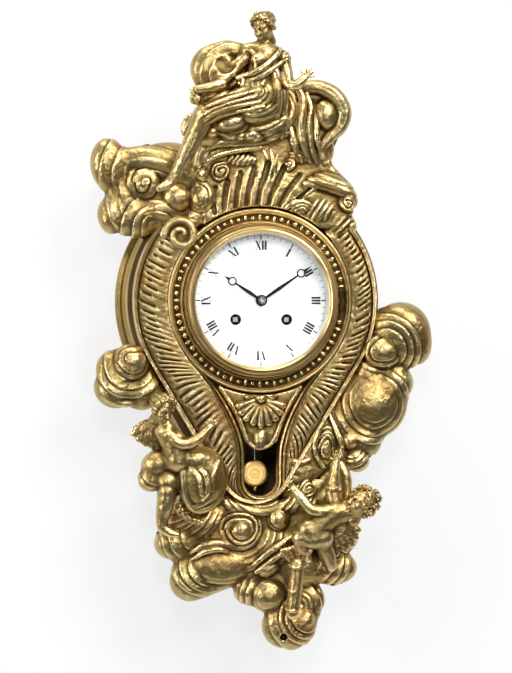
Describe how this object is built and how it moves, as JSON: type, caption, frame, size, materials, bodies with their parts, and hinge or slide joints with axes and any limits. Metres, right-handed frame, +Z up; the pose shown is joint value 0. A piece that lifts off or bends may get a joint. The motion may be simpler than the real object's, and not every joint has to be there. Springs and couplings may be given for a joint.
{
  "type": "cartel clock",
  "caption": "Gilt rocaille wall clock with clouds and figures around a white dial, hinged glazed bezel, striking movement and swinging pendulum.",
  "frame": {"origin": "on the wall plane at the rear of the back board, on the dial axis", "axes": "+X to the right of the dial, +Y into the wall, +Z up"},
  "size_m": [0.345, 0.1397, 0.6388],
  "materials": {
    "gilt_bronze": "aged gilding, burnished on the high places",
    "cast_back": "dull as-cast",
    "bezel_gilt": "turned and gilt",
    "oak_board": "dark stain",
    "iron_fixing": "dull",
    "clear_glass": "bevelled",
    "white_enamel": "glossy enamel on copper",
    "blued_steel": "blued",
    "bob_brass": "turned",
    "bell_metal": "dull",
    "polished_steel": "polished",
    "movement_brass": "brushed"
  },
  "bodies": {
    "case": {"back_board": "oak_board", "hanger_plate": "iron_fixing", "case_surround": "gilt_bronze", "casting_plate": "cast_back", "case_screws": "iron_fixing", "casting_studs": "cast_back", "fluted_frame": "gilt_bronze", "pearl_ring": "gilt_bronze", "shell_apron": "gilt_bronze", "crest": "gilt_bronze", "cloud_upper_left": "gilt_bronze", "cloud_left": "gilt_bronze", "cloud_right": "gilt_bronze", "cloud_lower": "gilt_bronze", "figure_top": "gilt_bronze", "figure_left": "gilt_bronze", "figure_right": "gilt_bronze", "quiver": "gilt_bronze", "bezel_seat": "bezel_gilt", "hinge_bracket": "bezel_gilt", "hinge_pin": "bezel_gilt", "dial": "white_enamel", "dial_feet": "movement_brass", "case_posts": "movement_brass", "front_plate": "movement_brass", "back_plate": "movement_brass", "pillars": "movement_brass", "suspension_cock": "movement_brass", "bell": "bell_metal", "bell_stand": "polished_steel"},
    "bezel_door": {"bezel": "bezel_gilt", "bezel_glass": "clear_glass"},
    "minute_set": {"cannon_pinion": "polished_steel", "minute_hand": "blued_steel", "hand_nut": "polished_steel"},
    "minute_wheel": {"minute_wheel": "movement_brass"},
    "hour_set": {"hour_wheel": "movement_brass", "hour_hand": "blued_steel"},
    "going_barrel": {"going_barrel": "movement_brass", "going_mainspring": "blued_steel"},
    "going_arbor": {"going_arbor": "polished_steel"},
    "going_click": {"going_click": "polished_steel"},
    "going_second_wheel": {"going_second_wheel": "movement_brass"},
    "centre_wheel": {"centre_wheel": "movement_brass"},
    "third_wheel": {"third_wheel": "movement_brass"},
    "escape_wheel": {"escape_wheel": "movement_brass"},
    "pallets": {"pallets": "polished_steel"},
    "pendulum": {"suspension": "polished_steel", "pendulum_rod": "polished_steel", "pendulum_bob": "bob_brass", "rating_nut": "movement_brass"},
    "strike_barrel": {"strike_barrel": "movement_brass", "strike_mainspring": "blued_steel"},
    "strike_arbor": {"strike_arbor": "polished_steel"},
    "strike_click": {"strike_click": "polished_steel"},
    "strike_second_wheel": {"strike_second_wheel": "movement_brass"},
    "pin_wheel": {"pin_wheel": "movement_brass"},
    "locking_wheel": {"locking_wheel": "movement_brass"},
    "fly": {"fly": "movement_brass"},
    "hammer": {"hammer": "polished_steel"}
  },
  "joints": [
    {"name": "bezel_hinge", "type": "hinge", "parent": "case", "child": "bezel_door", "pos_m": [0.0813, -0.0922, 0], "axis": [0, 0, 1], "range_deg": [0, 95]},
    {"name": "minute_spin", "type": "hinge", "parent": "case", "child": "minute_set", "pos_m": [0, -0.092, 0], "axis": [0, 1, 0], "continuous": true},
    {"name": "minute_wheel_spin", "type": "hinge", "parent": "case", "child": "minute_wheel", "pos_m": [-0.0072, -0.088, 0.01247], "axis": [0, 1, 0], "continuous": true},
    {"name": "hour_spin", "type": "hinge", "parent": "case", "child": "hour_set", "pos_m": [0, -0.091, 0], "axis": [0, 1, 0], "continuous": true},
    {"name": "third_spin", "type": "hinge", "parent": "case", "child": "third_wheel", "pos_m": [-0.01126, -0.066, 0.01353], "axis": [0, 1, 0], "continuous": true},
    {"name": "escape_spin", "type": "hinge", "parent": "case", "child": "escape_wheel", "pos_m": [0, -0.066, 0.026], "axis": [0, 1, 0], "continuous": true},
    {"name": "centre_spin", "type": "hinge", "parent": "case", "child": "centre_wheel", "pos_m": [0, -0.066, 0], "axis": [0, 1, 0], "continuous": true},
    {"name": "going_second_spin", "type": "hinge", "parent": "case", "child": "going_second_wheel", "pos_m": [0.01885, -0.066, 0.00141], "axis": [0, 1, 0], "continuous": true},
    {"name": "going_barrel_spin", "type": "hinge", "parent": "case", "child": "going_barrel", "pos_m": [0.0256, -0.066, -0.019], "axis": [0, 1, 0], "continuous": true},
    {"name": "going_wind", "type": "hinge", "parent": "case", "child": "going_arbor", "pos_m": [0.0256, -0.066, -0.019], "axis": [0, 1, 0], "range_deg": [0, 1800]},
    {"name": "going_click_lift", "type": "hinge", "parent": "case", "child": "going_click", "pos_m": [0.03625, -0.088, -0.01154], "axis": [0, 1, 0], "range_deg": [0, 12]},
    {"name": "pallet_rock", "type": "hinge", "parent": "case", "child": "pallets", "pos_m": [0, -0.066, 0.036], "axis": [0, 1, 0], "range_deg": [-4, 4]},
    {"name": "pendulum_swing", "type": "hinge", "parent": "case", "child": "pendulum", "pos_m": [0, -0.0365, 0.036], "axis": [0, 1, 0], "range_deg": [-4, 4]},
    {"name": "locking_spin", "type": "hinge", "parent": "case", "child": "locking_wheel", "pos_m": [-0.02893, -0.066, 0.0014], "axis": [0, 1, 0], "continuous": true},
    {"name": "pin_spin", "type": "hinge", "parent": "case", "child": "pin_wheel", "pos_m": [-0.01715, -0.066, -0.0054], "axis": [0, 1, 0], "continuous": true},
    {"name": "strike_second_spin", "type": "hinge", "parent": "case", "child": "strike_second_wheel", "pos_m": [-0.00411, -0.066, -0.01845], "axis": [0, 1, 0], "continuous": true},
    {"name": "strike_barrel_spin", "type": "hinge", "parent": "case", "child": "strike_barrel", "pos_m": [-0.0256, -0.066, -0.019], "axis": [0, 1, 0], "continuous": true},
    {"name": "fly_spin", "type": "hinge", "parent": "case", "child": "fly", "pos_m": [-0.03324, -0.066, 0.01324], "axis": [0, 1, 0], "continuous": true},
    {"name": "strike_wind", "type": "hinge", "parent": "case", "child": "strike_arbor", "pos_m": [-0.0256, -0.066, -0.019], "axis": [0, 1, 0], "range_deg": [0, 1800]},
    {"name": "strike_click_lift", "type": "hinge", "parent": "case", "child": "strike_click", "pos_m": [-0.03625, -0.088, -0.01154], "axis": [0, 1, 0], "range_deg": [-12, 0]},
    {"name": "hammer_lift", "type": "hinge", "parent": "case", "child": "hammer", "pos_m": [-0.03, -0.03, 0.036], "axis": [0, 1, 0], "range_deg": [0, 14]}
  ],
  "couplings": [
    {"joint": "minute_wheel_spin", "follows": "minute_spin", "ratio": -0.33333},
    {"joint": "hour_spin", "follows": "minute_spin", "ratio": 0.083333},
    {"joint": "third_spin", "follows": "escape_spin", "ratio": -0.076923},
    {"joint": "centre_spin", "follows": "escape_spin", "ratio": 0.0076923},
    {"joint": "going_second_spin", "follows": "escape_spin", "ratio": -0.0012821},
    {"joint": "going_barrel_spin", "follows": "escape_spin", "ratio": 0.0002079},
    {"joint": "pallet_rock", "follows": "pendulum_swing", "ratio": 1},
    {"joint": "locking_spin", "follows": "fly_spin", "ratio": -0.125},
    {"joint": "pin_spin", "follows": "fly_spin", "ratio": 0.016667},
    {"joint": "strike_second_spin", "follows": "fly_spin", "ratio": -0.0023148},
    {"joint": "strike_barrel_spin", "follows": "fly_spin", "ratio": 0.00037538}
  ]
}
